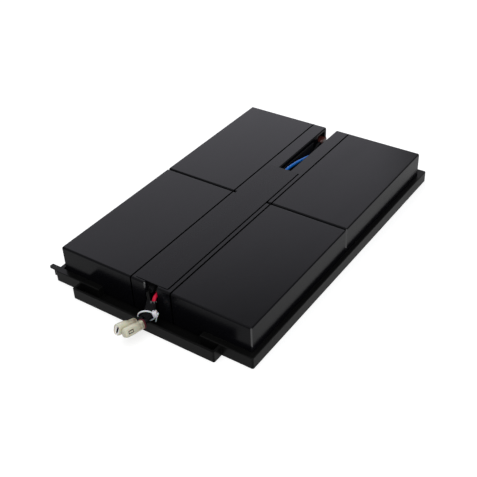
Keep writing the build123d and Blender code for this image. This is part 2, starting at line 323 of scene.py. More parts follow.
# %% [markdown]
# ## Effects that several finishes share
# Most of the cartridge is black moulded plastic, so the same four effects come back: the fine grain that
# a spark-eroded mould leaves, the faint rubs of handling, the paler line that an edge gets from wear, and
# the shine of an upright corner, which catches the white floor. Each could be built again in every
# material. A node group is made once instead, and placed in each material with its own values.


# %% Helpers for node trees
def fill(node, **values):
    """Gives each value to the input of that name, where an underscore stands for a space."""
    for socket, value in values.items():
        node.inputs[socket.replace("_", " ")].default_value = value
    return node


def add(tree, kind, **values):
    """Adds a node with its values."""
    return fill(tree.nodes.new(kind), **values)


def add_math(tree, operation, kind="ShaderNodeMath"):
    """Adds a node that reckons with numbers, or with vectors if its kind says so."""
    made = tree.nodes.new(kind)
    made.operation = operation
    return made


def add_mix(tree, **colours):
    """Adds a mix of the two colours A and B."""
    made = tree.nodes.new("ShaderNodeMix")
    made.data_type = "RGBA"
    for socket, colour in colours.items():
        made.inputs[socket].default_value = (*colour, 1)
    return made


def join(start, output, end, socket):
    """Links an output of one node to an input of another in the same tree."""
    start.id_data.links.new(start.outputs[output], end.inputs[socket])


# %% Helpers for groups
def start_group(name, inputs, outputs):
    """A shader group with float inputs, given with their starting values, and float outputs."""
    tree = bpy.data.node_groups.new(name, "ShaderNodeTree")
    for socket, value in inputs.items():
        made = tree.interface.new_socket(socket, in_out="INPUT", socket_type="NodeSocketFloat")
        made.default_value = value
    for socket in outputs:
        tree.interface.new_socket(socket, in_out="OUTPUT", socket_type="NodeSocketFloat")
    print("group:", name)
    return tree, tree.nodes.new("NodeGroupInput"), tree.nodes.new("NodeGroupOutput")


def use_group(tree, group, **values):
    """Places a group in a tree with its own values."""
    placed = tree.nodes.new("ShaderNodeGroup")
    placed.node_tree = group
    return fill(placed, **values)


# %% Group: grain of the mould
grain_tree, grain_in, grain_out = start_group("mould grain", {"Size": 2500.0}, ["Height"])
grain_place = add(grain_tree, "ShaderNodeTexCoord")
grain_fine = add(grain_tree, "ShaderNodeTexNoise", Detail=3.0, Roughness=0.6)
join(grain_place, "Object", grain_fine, "Vector")
join(grain_in, "Size", grain_fine, "Scale")
join(grain_fine, "Fac", grain_out, "Height")

# %% Group: rubs of handling
# Hands and shelves rub along the length of a piece, so the noise is stretched and a little turned.
rub_tree, rub_in, rub_out = start_group("rubs", {"Size": 30.0}, ["Mask"])
rub_place = add(rub_tree, "ShaderNodeTexCoord")
rub_stretch = add(rub_tree, "ShaderNodeMapping", Rotation=(0, 0, 0.6), Scale=(1.0, 0.25, 1.0))
rub_noise = add(rub_tree, "ShaderNodeTexNoise", Detail=5.0, Roughness=0.65, Distortion=0.4)
rub_level = add(rub_tree, "ShaderNodeMapRange", From_Min=0.45, From_Max=0.75)
join(rub_place, "Object", rub_stretch, "Vector")
join(rub_stretch, "Vector", rub_noise, "Vector")
join(rub_in, "Size", rub_noise, "Scale")
join(rub_noise, "Fac", rub_level, "Value")
join(rub_level, "Result", rub_out, "Mask")

# %% Group: worn edges
# A Bevel node turns the normal near an edge, and the more it turns there, the nearer the edge is.
edge_tree, edge_in, edge_out = start_group("worn edges", {"Width": 0.0006, "Amount": 1.0}, ["Mask"])
edge_round = add(edge_tree, "ShaderNodeBevel")
edge_round.samples = 4
edge_true = add(edge_tree, "ShaderNodeNewGeometry")
edge_dot = add_math(edge_tree, "DOT_PRODUCT", "ShaderNodeVectorMath")
edge_level = add(edge_tree, "ShaderNodeMapRange", From_Min=0.98, From_Max=0.7)
edge_scale = add_math(edge_tree, "MULTIPLY")
join(edge_in, "Width", edge_round, "Radius")
join(edge_round, "Normal", edge_dot, 0)
join(edge_true, "Normal", edge_dot, 1)
join(edge_dot, "Value", edge_level, "Value")
join(edge_level, "Result", edge_scale, 0)
join(edge_in, "Amount", edge_scale, 1)
join(edge_scale, "Value", edge_out, "Mask")

# %% Group: upright corners
# On a face that is square to x or y one of those two parts of the normal is 0, so their product is 0.
# On the bevel of an upright corner both are large.
corner_tree, corner_in, corner_out = start_group("upright corners", {"Amount": 1.0}, ["Mask"])
corner_true = add(corner_tree, "ShaderNodeNewGeometry")
corner_parts = add(corner_tree, "ShaderNodeSeparateXYZ")
corner_product = add_math(corner_tree, "MULTIPLY")
corner_size = add_math(corner_tree, "ABSOLUTE")
corner_level = add(corner_tree, "ShaderNodeMapRange", From_Min=0.15, From_Max=0.4)
corner_scale = add_math(corner_tree, "MULTIPLY")
join(corner_true, "Normal", corner_parts, "Vector")
join(corner_parts, "X", corner_product, 0)
join(corner_parts, "Y", corner_product, 1)
join(corner_product, "Value", corner_size, 0)
join(corner_size, "Value", corner_level, "Value")
join(corner_level, "Result", corner_scale, 0)
join(corner_in, "Amount", corner_scale, 1)
join(corner_scale, "Value", corner_out, "Mask")

# %% [markdown]
# ## Plastic and rubber
# Every plastic piece copies the skin of its mould or die. Each could have a material of its own design,
# but one recipe serves them all, so that they look made of one family: a colour that changes a little on
# worn edges, a gloss that the rubs dull, and the mould's grain as a very low bump. Only the numbers
# differ. Soft pieces have no hard edge to wear, so their colour changes with the rubs instead.


# %% Recipe for plastic
def start_material(name):
    """A new material, its node tree and its shader."""
    material = bpy.data.materials.new(name)
    material.use_nodes = True
    print("finish:", name)
    return material, material.node_tree, material.node_tree.nodes["Principled BSDF"]


def make_plastic(
    name, colour, worn, gloss, dull, grain_size, grain_height, wear=0.5, soft=0.0, shine=0.05
):
    """A plastic material.

    gloss and dull are its lowest and highest roughness, wear is how much its edges pale, soft is the
    share of light that sinks in, and shine is how strongly the skin mirrors.
    """
    material, tree, shader = start_material(name)
    fill(shader, IOR=1.5, Specular_IOR_Level=shine, Subsurface_Weight=soft, Subsurface_Scale=0.002)
    rubs = use_group(tree, rub_tree)
    worn_places = use_group(tree, edge_tree, Amount=wear) if wear else rubs
    tint = add_mix(tree, A=colour, B=worn)
    join(worn_places, "Mask", tint, "Factor")
    join(tint, "Result", shader, "Base Color")
    rough = add(tree, "ShaderNodeMapRange", To_Min=gloss, To_Max=dull)
    join(rubs, "Mask", rough, "Value")
    join(rough, "Result", shader, "Roughness")
    grain = use_group(tree, grain_tree, Size=grain_size)
    bump = add(tree, "ShaderNodeBump", Strength=0.6, Distance=grain_height)
    join(grain, "Height", bump, "Height")
    join(bump, "Normal", shader, "Normal")
    return material


# %% Black plastic of the batteries
# The batteries' edges pale a little towards the worn colour: wear, and also a painted highlight on their
# corners.
battery_look = {
    "colour": (0.003, 0.003, 0.004), "worn": (0.03, 0.03, 0.035), "gloss": 0.20, "dull": 0.26,
    "grain_height": 0.000004, "wear": 0.05,
}
case_black = make_plastic("battery_case_black", grain_size=2600, **battery_look)
lid_black = make_plastic("battery_lid_black", grain_size=2400, **battery_look)
for battery_black in (case_black, lid_black):
    battery_tree = battery_black.node_tree
    battery_shader = battery_tree.nodes["Principled BSDF"]
    fill(battery_shader, Coat_Roughness=0.12, Coat_IOR=1.9)
    corners = use_group(battery_tree, corner_tree, Amount=0.55)
    join(corners, "Mask", battery_shader, "Coat Weight")

# %% Black plastic of the tray and the covers
tray_black = make_plastic(
    "tray_black", colour=(0.004, 0.004, 0.004), worn=(0.03, 0.03, 0.03), gloss=0.32, dull=0.44,
    grain_size=1500, grain_height=0.00002, shine=0.045,
)
vent_black = make_plastic(
    "vent_cover_black", colour=(0.014, 0.014, 0.015), worn=(0.04, 0.04, 0.04), gloss=0.35, dull=0.45,
    grain_size=2200, grain_height=0.00002,
)
cover_black = make_plastic(
    "cover_film_black", colour=(0.003, 0.003, 0.004), worn=(0.03, 0.03, 0.033), gloss=0.27, dull=0.32,
    grain_size=900, grain_height=0.000006, wear=0.05,
)

# %% Nylon of the connectors and the tie
nylon = make_plastic(
    "nylon_natural", colour=(0.66, 0.64, 0.49), worn=(0.78, 0.76, 0.63), gloss=0.26, dull=0.40,
    grain_size=1800, grain_height=0.00003, soft=0.15, shine=0.5,
)
# Dark brown for the walls and floor of the latch windows: painted shade in those recesses.
latch_window_shade = make_plastic(
    "nylon_window_shade", colour=(0.10, 0.07, 0.045), worn=(0.24, 0.19, 0.13), gloss=0.4, dull=0.55,
    grain_size=1800, grain_height=0.00002, wear=0.3, shine=0.3,
)
# White for the lining of the socket's mouth: a painted highlight on the nylon there.
mouth_highlight_white = make_plastic(
    "mouth_highlight_white", colour=(0.90, 0.90, 0.88), worn=(0.95, 0.95, 0.93), gloss=0.35, dull=0.45,
    grain_size=1800, grain_height=0.00001, soft=0.1, shine=0.5,
)
tie_white = make_plastic(
    "nylon_white", colour=(0.86, 0.85, 0.90), worn=(0.92, 0.92, 0.95), gloss=0.33, dull=0.42,
    grain_size=1800, grain_height=0.00002, soft=0.2, shine=0.5,
)

# %% Insulation of the wires
wire_look = {"gloss": 0.28, "dull": 0.38, "grain_size": 1200, "grain_height": 0.00002, "wear": 0}
insulation_red = make_plastic(
    "insulation_red", colour=(0.66, 0.001, 0.035), worn=(0.55, 0.006, 0.04), shine=0.2, **wire_look
)
insulation_black = make_plastic(
    "insulation_black", colour=(0.003, 0.003, 0.003), worn=(0.007, 0.007, 0.007), **wire_look
)
insulation_blue = make_plastic(
    "insulation_blue", colour=(0.002, 0.13, 0.50), worn=(0.01, 0.11, 0.42), shine=0.15, **wire_look
)

# %% Boots and seals
boot_black = make_plastic(
    "boot_black", colour=(0.015, 0.015, 0.016), worn=(0.04, 0.04, 0.04), gloss=0.36, dull=0.5,
    grain_size=1400, grain_height=0.00004,
)
boot_red = make_plastic(
    "boot_red", colour=(0.07, 0.016, 0.013), worn=(0.16, 0.06, 0.05), gloss=0.30, dull=0.42,
    grain_size=1400, grain_height=0.00004, shine=0.5,
)
# Dark red for the seal at the back of the pin housing: painted shade, the red of the lead as it looks in
# shadow.
shade_red_seal = make_plastic(
    "dark_red_painted_shade", colour=(0.07, 0.005, 0.011), worn=(0.16, 0.02, 0.03), gloss=0.45, dull=0.6,
    grain_size=1400, grain_height=0.00003, wear=0.2, shine=0.3,
)

# %% Sleeve, threads, tape, and black for cement and painted shade
sleeve_black = make_plastic(
    "sleeve_black", colour=(0.005, 0.005, 0.006), worn=(0.009, 0.009, 0.01), gloss=0.4, dull=0.55,
    grain_size=900, grain_height=0.00003, wear=0,
)
# Grey for the frayed ends of the black braid: a painted highlight on black threads.
fray_grey_highlight = make_plastic(
    "fray_grey_highlight", colour=(0.14, 0.135, 0.14), worn=(0.2, 0.2, 0.2), gloss=0.5, dull=0.65,
    grain_size=2400, grain_height=0.00001, wear=0, shine=0.3,
)
tape_foam = make_plastic(
    "tape_foam", colour=(0.62, 0.61, 0.57), worn=(0.52, 0.50, 0.46), gloss=0.8, dull=0.9,
    grain_size=1500, grain_height=0.0001, wear=0,
)
# Dead black for the joints of the batteries and the line along the film: cement, painted shade in the
# groove, and a painted shadow at the film's edge.
cement_shade_black = make_plastic(
    "cement_shade_black", colour=(0.0004, 0.0004, 0.0004), worn=(0.001, 0.001, 0.001), gloss=0.8, dull=0.95,
    grain_size=1400, grain_height=0.00001, wear=0, shine=0.0,
)

# %% [markdown]
# ## Brown ageing on the nylon
# Natural nylon browns where hands and warm wires touch it. The brown could be painted on by hand, but
# then it would not fit a changed shape. Here the distance along y says how far the brown reaches, from
# the wires towards the noses, and a noise breaks it up.

# %% Ageing at the backs of the connectors
age_ends = -0.1785
age_starts = -0.1695
nylon_tree = nylon.node_tree
nylon_shader = nylon_tree.nodes["Principled BSDF"]
nylon_tint = nylon_shader.inputs["Base Color"].links[0].from_node
age_place = add(nylon_tree, "ShaderNodeTexCoord")
age_parts = add(nylon_tree, "ShaderNodeSeparateXYZ")
age_reach = add(nylon_tree, "ShaderNodeMapRange", From_Min=age_ends, From_Max=age_starts)
age_noise = add(nylon_tree, "ShaderNodeTexNoise", Scale=420.0, Detail=3.0, Distortion=0.6)
age_patch = add(nylon_tree, "ShaderNodeMapRange", From_Min=0.35, From_Max=0.62)
age_mask = add_math(nylon_tree, "MULTIPLY")
age_tint = add_mix(nylon_tree, B=(0.26, 0.19, 0.13))
join(age_place, "Object", age_parts, "Vector")
join(age_parts, "Y", age_reach, "Value")
join(age_place, "Object", age_noise, "Vector")
join(age_noise, "Fac", age_patch, "Value")
join(age_reach, "Result", age_mask, 0)
join(age_patch, "Result", age_mask, 1)
join(age_mask, "Value", age_tint, "Factor")
join(nylon_tint, "Result", age_tint, "A")
join(age_tint, "Result", nylon_shader, "Base Color")
print("brown reaches over", round((age_starts - age_ends) / mm, 1), "mm")

# %% [markdown]
# ## Tinned metal
# Tabs, receptacles and contacts are stamped from tin-plated brass. Tin is a soft, slightly warm grey
# metal with a rolled grain along the strip. Cut lines in the mesh would be too heavy for marks so fine,
# so a noise that is stretched along the strip changes the colour and the gloss in lines.

# %% Tin plate
tin, tin_tree, tin_shader = start_material("tin_plate")
fill(tin_shader, Metallic=1.0)
tin_place = add(tin_tree, "ShaderNodeTexCoord")
tin_stretch = add(tin_tree, "ShaderNodeMapping", Scale=(40, 1200, 1200))
tin_lines = add(tin_tree, "ShaderNodeTexNoise", Scale=1.0, Detail=4.0)
tin_rough = add(tin_tree, "ShaderNodeMapRange", To_Min=0.22, To_Max=0.42)
tin_tint = add_mix(tin_tree, A=(0.52, 0.51, 0.48), B=(0.70, 0.69, 0.66))
join(tin_place, "Object", tin_stretch, "Vector")
join(tin_stretch, "Vector", tin_lines, "Vector")
join(tin_lines, "Fac", tin_rough, "Value")
join(tin_lines, "Fac", tin_tint, "Factor")
join(tin_tint, "Result", tin_shader, "Base Color")
join(tin_rough, "Result", tin_shader, "Roughness")

# %% [markdown]
# ## The sleeve round the leads
# A braided sleeve is a net of fine black threads. It swells over the bend, is drawn in by the tie, and
# its cut end frays. A bump could only hint at the net, and its edge would stay smooth. So a thin tube
# fills the net, and real threads wind round it both ways, passing over and under each other.

# %% Tube of the sleeve
sleeve_ends = (-2.4, -15.2)
sleeve_half_width = 3.9
sleeve_half_height = 2.9
sleeve_growth = 1.1
swell_size = 0.5
sleeve_sides = 28
sleeve_wall = 0.35
middle_route = [(Vector(red) + Vector(black)) / 2 for red, black in zip(red_route, black_route)]
sleeve_line = stretch(smooth_line(middle_route), *sleeve_ends)
sleeve_count = len(sleeve_line)
sleeve_sizes = []
for step in range(sleeve_count):
    share = step / (sleeve_count - 1)
    # One broad swell over the first two thirds, and small ripples all along.
    swell = 0.9 * math.sin(math.pi * min(share * 1.5, 1.0)) + 0.15 * math.sin(share * 21)
    half_width = sleeve_half_width + swell_size * swell
    half_height = sleeve_half_height + sleeve_growth * share + swell_size * swell
    sleeve_sizes.append((half_width * mm, half_height * mm))
sleeve_places = ring_places(sleeve_line, sleeve_sizes)
sleeve_shape = bmesh.new()
pull_ring(sleeve_shape, sleeve_places, sleeve_sides, sleeve_wall * mm)
sleeve = make_piece("sleeve", sleeve_shape, [sleeve_black])
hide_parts("lead_sleeve")


# %% Threads as a mesh
def thread_piece(name, threads, radius, material):
    """Fine round threads as one mesh, in the material that is given."""
    curve = bpy.data.curves.new(name, "CURVE")
    curve.dimensions = "3D"
    curve.bevel_depth = radius
    curve.bevel_resolution = 1
    curve.use_fill_caps = True
    for thread in threads:
        spline = curve.splines.new("POLY")
        spline.points.add(len(thread) - 1)
        for control, point in zip(spline.points, thread):
            control.co = (*point, 1)
    mesh = mesh_of(curve)
    shape = bmesh.new()
    shape.from_mesh(mesh)
    bpy.data.meshes.remove(mesh)
    piece = make_piece(name, shape, [material])


# %% Threads of the braid
thread_count = 14
thread_radius = 0.2
thread_turns = 0.9
thread_lift = 1.03
thread_wave = 0.02
threads = []
for winding in (-1, 1):
    for number in range(thread_count):
        thread = []
        for step, place in enumerate(sleeve_places):
            turn = math.tau * (number / thread_count + winding * thread_turns * step / sleeve_count)
            lift = thread_lift + thread_wave * winding * math.cos(turn * thread_count / 2)
            thread.append(place @ Vector((lift * math.cos(turn), lift * math.sin(turn), 0)))
        threads.append(thread)
thread_piece("sleeve_braid", threads, thread_radius * mm, sleeve_black)

# %% Frayed ends of the braid
# The loose ends stand along the front of the rim. Each first leans outwards and then folds down over it.
# Their grey is a painted highlight on the black threads.
fray_count = 12
fray_radius = 0.16
fray_from = -0.5
fray_arc = 2.0
fray_rise = 0.4
chance = random.Random(4)
frays = []
for number in range(fray_count):
    turn = fray_from + fray_arc * (number + chance.uniform(-0.3, 0.3)) / fray_count
    twist = chance.uniform(-0.35, 0.35)
    reach = chance.uniform(1.4, 2.8) * mm
    spread = chance.uniform(0.1, 0.2)
    fray = []
    for share in (0.0, 0.35, 0.7, 1.0):
        angle = turn + twist * share
        wide = 1.02 + spread * math.sin(math.pi * min(share + 0.2, 1.0))
        depth = reach * share - fray_rise * mm * math.sin(math.pi * share)
        fray.append(sleeve_places[0] @ Vector((wide * math.cos(angle), wide * math.sin(angle), depth)))
    frays.append(fray)
thread_piece("sleeve_frays", frays, fray_radius * mm, fray_grey_highlight)

# %% [markdown]
# ## The short tubes on the wires
# Between the sleeve and the connectors each lead wears a tube of black shrink sleeve, and so does the rear
# jumper at its left boot. On the red lead and on the jumper this black is also painted shade: it darkens
# the wire where it lies in shadow. Shrink sleeve grips the wire, so it is only a little wider and shows a
# few soft wrinkles. A second bevelled curve would be quick but quite even. A ring that changes its size
# from step to step shows the wrinkles.

# %% Shrink tubes on the leads
tube_sides = 20
tube_wall = 0.3
wrinkle_height = 0.12
wrinkle_step = 1.9


def make_shrink_tube(name, line, radius):
    """A tube round a wire. The wrinkle step, in radians a ring, keeps the wrinkles uneven."""
    sizes = []
    for step in range(len(line)):
        size = (radius + wrinkle_height * math.sin(step * wrinkle_step)) * mm
        sizes.append((size, size))
    shape = bmesh.new()
    pull_ring(shape, ring_places(line, sizes), tube_sides, tube_wall * mm)
    tube = make_piece(name, shape, [sleeve_black])
    return tube


lead_tube_ends = (-14.0, -20.4)
lead_tube_radius = 2.15
# The black tube over the red lead, between the sleeve and the connector, is painted shade on the red.
red_shade_tube = make_shrink_tube(
    "shrink_tube_red_lead_shade", stretch(red_line, *lead_tube_ends), lead_tube_radius
)
black_tube = make_shrink_tube(
    "shrink_tube_black_lead", stretch(black_line, *lead_tube_ends), lead_tube_radius
)

# %% Tube at the rear jumper's end
# Both ends of the jumper lie at the rear, so only the first points of its line are looked at.
jumper_tube_length = 14
jumper_tube_radius = 2.0
first_points = 40
left_half = smooth_line(blue_route)[:first_points]
tube_from = (channel_middle.y + rear_boots - jumper_tube_length) * mm
jumper_end = [point for point in left_half if point.y > tube_from]
# The black tube hides the blue of the jumper near its left boot: painted shade.
make_shrink_tube("shrink_tube_rear_jumper_shade", jumper_end, jumper_tube_radius)

# %% [markdown]
# ## Joints of the batteries and the cover
# Case and lid are cemented together. The cement fills the groove between them and dries dead matt, and the
# black line round each battery is partly that cement and partly painted shade, the shade of the groove.
# The film over the channel gets the same kind of black line along its right edge, standing out a little
# like glue: a painted shadow of the film's edge. A dark line in the finish would need to know where each
# joint is, so thin bands of this black are laid on instead, level with the skin.

# %% Joint round a battery
joint_outline = (151.06, 34.06)
joint_round = 1.6
joint_width = 1.5
joint_wall = 0.3
joint_height = 18.9
joint_rows = {"front": 75.5, "rear": 227.5}
joint_sides = {"left": -21.0, "right": 21.0}


def make_joint(name, x, y):
    """A band of dead black that runs round a battery: cement, and painted shade of the groove between case
    and lid.
    """
    shape = bmesh.new()
    start_outline(shape, *joint_outline, joint_round)
    bmesh.ops.delete(shape, geom=shape.faces[:], context="FACES_ONLY")
    pull_band(shape, joint_width, (0, 1, 0))
    bmesh.ops.recalc_face_normals(shape, faces=shape.faces)
    bmesh.ops.solidify(shape, geom=shape.faces[:], thickness=joint_wall)
    quarter = Matrix.Rotation(math.radians(90), 4, "Z")
    in_metres = Matrix.Diagonal((mm, mm, mm, 1))
    place = Matrix.Translation(in_place((x, y, joint_height))) @ in_metres @ quarter
    joint = make_piece(name, shape, [cement_shade_black], place)


for row, y in joint_rows.items():
    for side, x in joint_sides.items():
        make_joint(f"joint_{row}_{side}", x, y)

# %% Painted shadow along the cover's right edge
# A thin dead black strip along the film's right edge, standing out a little like glue: a painted shadow of
# that edge.
edge_shadow_size = (1.3 * mm, 205.0 * mm, 0.16 * mm)
edge_shadow_middle = (16.2, 106.0, 35.94)
edge_shadow_soften = 0.04
edge_shadow_shape = bmesh.new()
edge_shadow_place = Matrix.Translation(in_place(edge_shadow_middle))
add_block(edge_shadow_shape, edge_shadow_size, edge_shadow_place, edge_shadow_soften * mm)
edge_shadow = make_piece("cover_edge_shadow", edge_shadow_shape, [cement_shade_black])

# %% [markdown]
# ## The connectors
# Both housings are one nylon shape: a slim barrel that grips the lead, a flare, and a wider nose. The
# socket's nose is open, with the contact deep in a slot; the white of its lining is a painted highlight,
# and the black of the slot is painted shade. The pin's nose is closed.
# Each carries a latch on its outer side, in a shallow window. Blocks could be joined by booleans, but
# those leave ragged faces at a flare. A rounded outline that is pulled out through a list of sections
# gives the flare clean rows of faces, and the window and the mouth are inset into them.

# %% Places of the connectors
pin_back, pin_front = (5.42, -20.8, 11.5), (3.5, -40.6, 15.2)
socket_back, socket_front = (-1.96, -20.85, 10.3), (-4.35, -39.3, 15.1)
pin_roll = Matrix.Rotation(math.radians(-25), 4, "Y")


def connector_place(back, nose):
    """The frame of a housing, in millimetres, with its back at the origin and its nose towards -y."""
    start = in_place(back)
    along = (in_place(nose) - start).normalized()
    across = Vector((0, 0, 1)).cross(along).normalized()
    rise = along.cross(across)
    turned = Matrix((across, -along, rise)).transposed()
    return Matrix.Translation(start) @ turned.to_4x4() @ Matrix.Diagonal((mm, mm, mm, 1))


pin_place = connector_place(pin_back, pin_front) @ pin_roll
socket_place = connector_place(socket_back, socket_front)
print("the pin connector starts at", [round(value, 4) for value in pin_place.translation])

# %% Sections of the housings
# Each line is a distance from the section before, a width and a height, from the back to the nose.
housing_back = (6.0, 7.0)
housing_round = 2.3
socket_sections = [
    (0.5, 6.8, 7.2),
    (7.0, 6.8, 7.2),
    (0.6, 7.0, 8.2),
    (2.6, 7.3, 9.6),
    (1.6, 7.4, 9.8),
    (5.6, 7.4, 9.8),
    (1.2, 7.3, 9.7),
    (0.7, 7.0, 9.4),
    (0.5, 6.4, 8.9),
]
pin_sections = [
    (0.5, 6.8, 7.8),
    (7.0, 6.8, 7.8),
    (0.6, 6.9, 8.1),
    (2.6, 6.9, 8.5),
    (1.6, 6.9, 8.5),
    (5.6, 6.9, 8.3),
    (0.8, 6.7, 7.9),
    (0.8, 6.2, 7.2),
    (0.5, 5.5, 6.4),
    (0.3, 4.4, 5.2),
]
print("the socket is", round(sum(section[0] for section in socket_sections), 1), "mm long")

# %% The latch in its window
latch_from, latch_to = -16.9, -12.6
window_border, window_depth = 0.35, 0.7
latch_gap, latch_edge, latch_height = 0.7, 0.1, 1.0


def start_housing(sections, side):
    """A housing with its latch on one side, -1 or 1 along x, and the face at its nose."""
    shape = bmesh.new()
    nose = pull_sections(shape, housing_back, housing_round, sections)
    bmesh.ops.recalc_face_normals(shape, faces=shape.faces)
    flats = [
        face for face in shape.faces
        if face.normal.x * side > 0.95 and latch_from < face.calc_center_median().y < latch_to
    ]
    flat = max(flats, key=lambda face: face.calc_area())
    outside = set(shape.faces)
    bmesh.ops.inset_individual(shape, faces=[flat], thickness=window_border, depth=-window_depth)
    bmesh.ops.inset_individual(shape, faces=[flat], thickness=latch_gap, depth=0.0)
    # The window's walls and floor take the dark brown: painted shade in the recess round the latch.
    for face in set(shape.faces) - outside:
        face.material_index = 1
    bmesh.ops.inset_individual(shape, faces=[flat], thickness=latch_edge, depth=latch_height)
    return shape, nose


# %% The closed pin connector
pin_shape, _ = start_housing(pin_sections, 1)
pin_housing = make_piece("pin_housing", pin_shape, [nylon, latch_window_shade], pin_place)
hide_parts("connector_pin_housing")

# %% The socket's open mouth
# The mouth is cut in four steps: the rim, the sloping lining, its floor, and the slot that leans over.
mouth_size = (4.6, 8.3)
mouth_shift = 0.55
lining_size = (4.1, 7.9)
lining_depth = 0.8
slot_size = (1.7, 7.2)
slot_shift = 0.15
slot_lean = 0.2
slot_depth = 9.0
socket_shape, socket_nose = start_housing(socket_sections, -1)
rim = pull_face(socket_shape, socket_nose, 0, socket_sections[-1][1:], mouth_size)
bmesh.ops.translate(socket_shape, vec=(mouth_shift, 0, 0), verts=rim.verts)
outer_faces = set(socket_shape.faces) - {rim}
lining = pull_face(socket_shape, rim, -lining_depth, mouth_size, lining_size)
slot = pull_face(socket_shape, lining, 0, lining_size, slot_size)
for corner in slot.verts:
    corner.co.x += slot_shift + slot_lean * corner.co.z
painted_highlight_faces = set(socket_shape.faces) - outer_faces - {slot}
pull_face(socket_shape, slot, -slot_depth, slot_size, slot_size)
# The lining takes the white, a painted highlight, and the walls and end of the deep slot take the vent
# covers' black, painted shade.
for face in socket_shape.faces:
    if face in painted_highlight_faces:
        face.material_index = 2
    elif face not in outer_faces:
        face.material_index = 3
socket_housing = make_piece(
    "socket_housing", socket_shape, [nylon, latch_window_shade, mouth_highlight_white, vent_black], socket_place
)
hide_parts("connector_socket_housing")

# %% The contact in the socket
# Two leaves, one above the other, are joined by a web. They lean as the slot does.
leaf_size = (0.8, 4.2, 2.4)
leaf_y = -13.4
leaf_height = 2.0
web_size = (0.5, 3.2, 2.0)
web_y = -13.8
contact_middle = mouth_shift + slot_shift
contact_soften = 0.15
contact_shape = bmesh.new()
for height in (-leaf_height, leaf_height):
    leaf_place = Matrix.Translation((contact_middle + slot_lean * height, leaf_y, height))
    add_block(contact_shape, leaf_size, leaf_place, contact_soften)
add_block(contact_shape, web_size, Matrix.Translation((contact_middle, web_y, 0)), contact_soften)
contact = make_piece("socket_contact", contact_shape, [tin], socket_place)
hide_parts("connector_socket_contact")

# %% Seals at the back of the connectors
seal_back = (6.2, 7.2)
seal_round = 2.4
seal_sections = [(0.3, 7.4, 8.6), (0.9, 7.6, 8.8), (0.3, 7.0, 8.1)]
seal_stands_out = 1.35


def make_seal(name, material, place):
    """A soft rim that closes the back of a housing round its lead."""
    shape = bmesh.new()
    pull_sections(shape, seal_back, seal_round, seal_sections)
    return make_piece(name, shape, [material], place @ Matrix.Translation((0, seal_stands_out, 0)))


# The pin's seal takes the dark red: painted shade on the end of the red lead.
red_seal = make_seal("seal_red_lead", shade_red_seal, pin_place)
black_seal = make_seal("seal_black_lead", sleeve_black, socket_place)

# %% [markdown]
# ## The cable tie
# The tie is a loose loop of strap that leans back over the sleeve. Its head is a small box with a window,
# through which the strap's teeth are caught, and the end of the strap hangs down from it. A bevelled
# curve would give the loop a round section. A flat ring pulled out to a band and given a wall keeps the
# strap flat, and small softened blocks make the head and the teeth.

# %% Loop of the strap
tie_middle = (2.5, -11.3, 12.2)
tie_turn = math.radians(31)
loop_half_width = 7.5
loop_half_height = 5.3
strap_width = 1.4
strap_wall = 0.6
tie_level = Vector((math.cos(tie_turn), math.sin(tie_turn), 0))
tie_normal = Vector((math.sin(tie_turn), -math.cos(tie_turn), 0))
tie_axes = Matrix((tie_level, Vector((0, 0, 1)), tie_normal)).transposed().to_4x4()
tie_place = Matrix.Translation(in_place(tie_middle)) @ tie_axes @ Matrix.Diagonal((mm, mm, mm, 1))
tie_shape = bmesh.new()
bmesh.ops.create_circle(tie_shape, cap_ends=False, segments=56, radius=1.0)
bmesh.ops.scale(tie_shape, vec=(loop_half_width, loop_half_height, 1), verts=tie_shape.verts)
pull_band(tie_shape, strap_width, (0, 0, 1))
bmesh.ops.solidify(tie_shape, geom=tie_shape.faces[:], thickness=strap_wall)
print("the loop is", 2 * loop_half_width, "mm wide")

# %% Head of the tie
head_size = (3.7, 4.9, 4.2)
head_soften = 0.45
head_turn = Matrix.Rotation(math.radians(16), 4, "Z")
head_place = Matrix.Translation((loop_half_width, 2.0, 0)) @ head_turn
head_border = 0.9
head_slope = 0.1
head_depth = 1.4
pawl_size, pawl_place = (2.0, 1.3, 1.6), Matrix.Translation((2.1, -0.2, 0.2))
lug_size, lug_place = (1.3, 1.2, 3.0), Matrix.Translation((-0.9, 2.6, 0))
small_soften = 0.25
add_block(tie_shape, head_size, head_place, head_soften)
outward = head_turn @ Vector((1, 0, 0))
window = max(tie_shape.faces, key=lambda face: face.normal.dot(outward) * face.calc_area())
bmesh.ops.inset_individual(tie_shape, faces=[window], thickness=head_border, depth=0.0)
bmesh.ops.inset_individual(tie_shape, faces=[window], thickness=head_slope, depth=-head_depth)
add_block(tie_shape, pawl_size, head_place @ pawl_place, small_soften)
add_block(tie_shape, lug_size, head_place @ lug_place, small_soften)
print("faces of the loop and the head:", len(tie_shape.faces))

# %% Tail of the tie
# The strap's end is a row of links, thick and thin in turn, which are its teeth.
tail_count = 9
tail_top = (8.3, -0.6)
tail_length = 5.0
tail_bend = 0.9
thick_link = (0.75, 0.9, 1.7)
thin_link = (0.63, 0.9, 1.7)
link_soften = 0.12
for step in range(tail_count):
    share = step / (tail_count - 1)
    link_x = tail_top[0] - tail_bend * share * share
    link_place = Matrix.Translation((link_x, tail_top[1] - tail_length * share, 0))
    add_block(tie_shape, thin_link if step % 2 else thick_link, link_place, link_soften)
tie = make_piece("tie", tie_shape, [tie_white], tie_place)
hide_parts("cable_tie")

# %% [markdown]
# ## Each piece gets its finish
# The pieces of the solid model keep their shape and only need a finish. They could be dressed one by one.
# A piece is found by the start of its name instead, so one line dresses all four batteries, and where
# two starts fit, the longer one holds.

